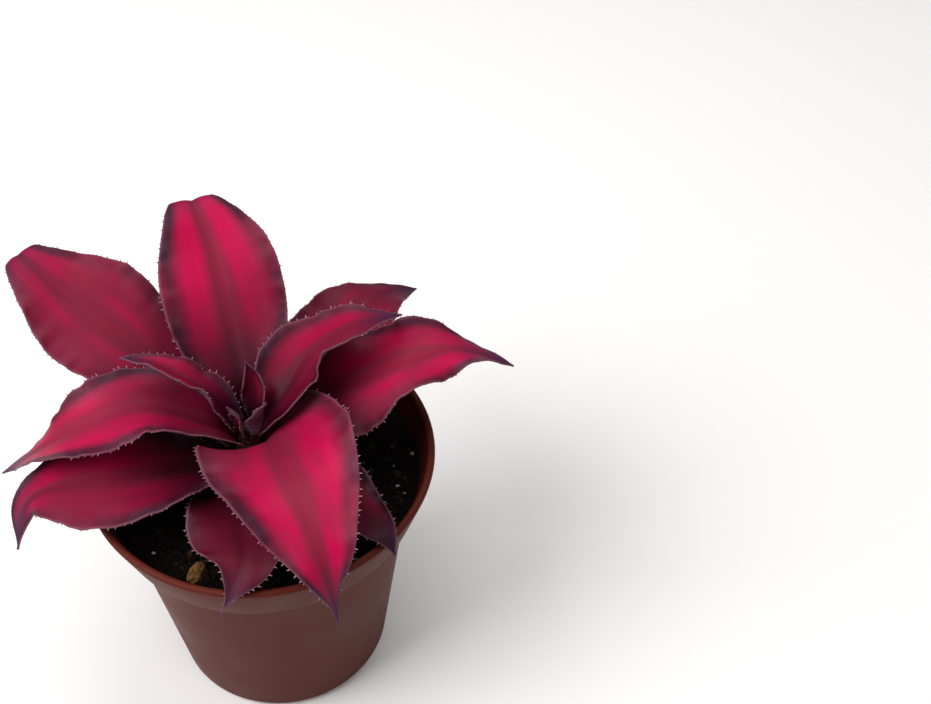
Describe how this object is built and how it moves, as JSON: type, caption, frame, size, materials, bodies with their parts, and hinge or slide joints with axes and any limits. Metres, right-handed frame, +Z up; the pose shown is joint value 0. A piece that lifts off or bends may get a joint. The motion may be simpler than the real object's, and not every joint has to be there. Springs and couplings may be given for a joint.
{
  "type": "potted earth star bromeliad",
  "caption": "Flat rosette of broad waved crimson leaves with toothed edges, growing from dark soil in a small tapered plastic pot.",
  "frame": {"origin": "middle of the pot's flat underside, on the surface that it stands on", "axes": "+Z up along the pot's axis, -Y towards the side that the picture is taken from"},
  "size_m": [0.1514, 0.1269, 0.1346],
  "materials": {
    "pot_plastic": "terracotta-brown moulded plastic, satin",
    "soil": "dark moist peat mix, stands in for soil",
    "leaf": "waxy crimson leaf with dark edges, stands in for leaf tissue",
    "stem": "short brown woody stem"
  },
  "bodies": {
    "root": {"centre_leaf_a": "leaf", "centre_leaf_b": "leaf", "centre_leaf_c": "leaf", "leaf_back_low": "leaf", "leaf_front": "leaf", "leaf_front_low": "leaf", "leaf_inner_left": "leaf", "leaf_inner_right": "leaf", "leaf_left": "leaf", "leaf_left_low": "leaf", "leaf_rear_low": "leaf", "leaf_right": "leaf", "leaf_right_low": "leaf", "leaf_top": "leaf", "leaf_upper_left": "leaf", "pot": "pot_plastic", "soil": "soil", "stem": "stem"}
  },
  "joints": []
}
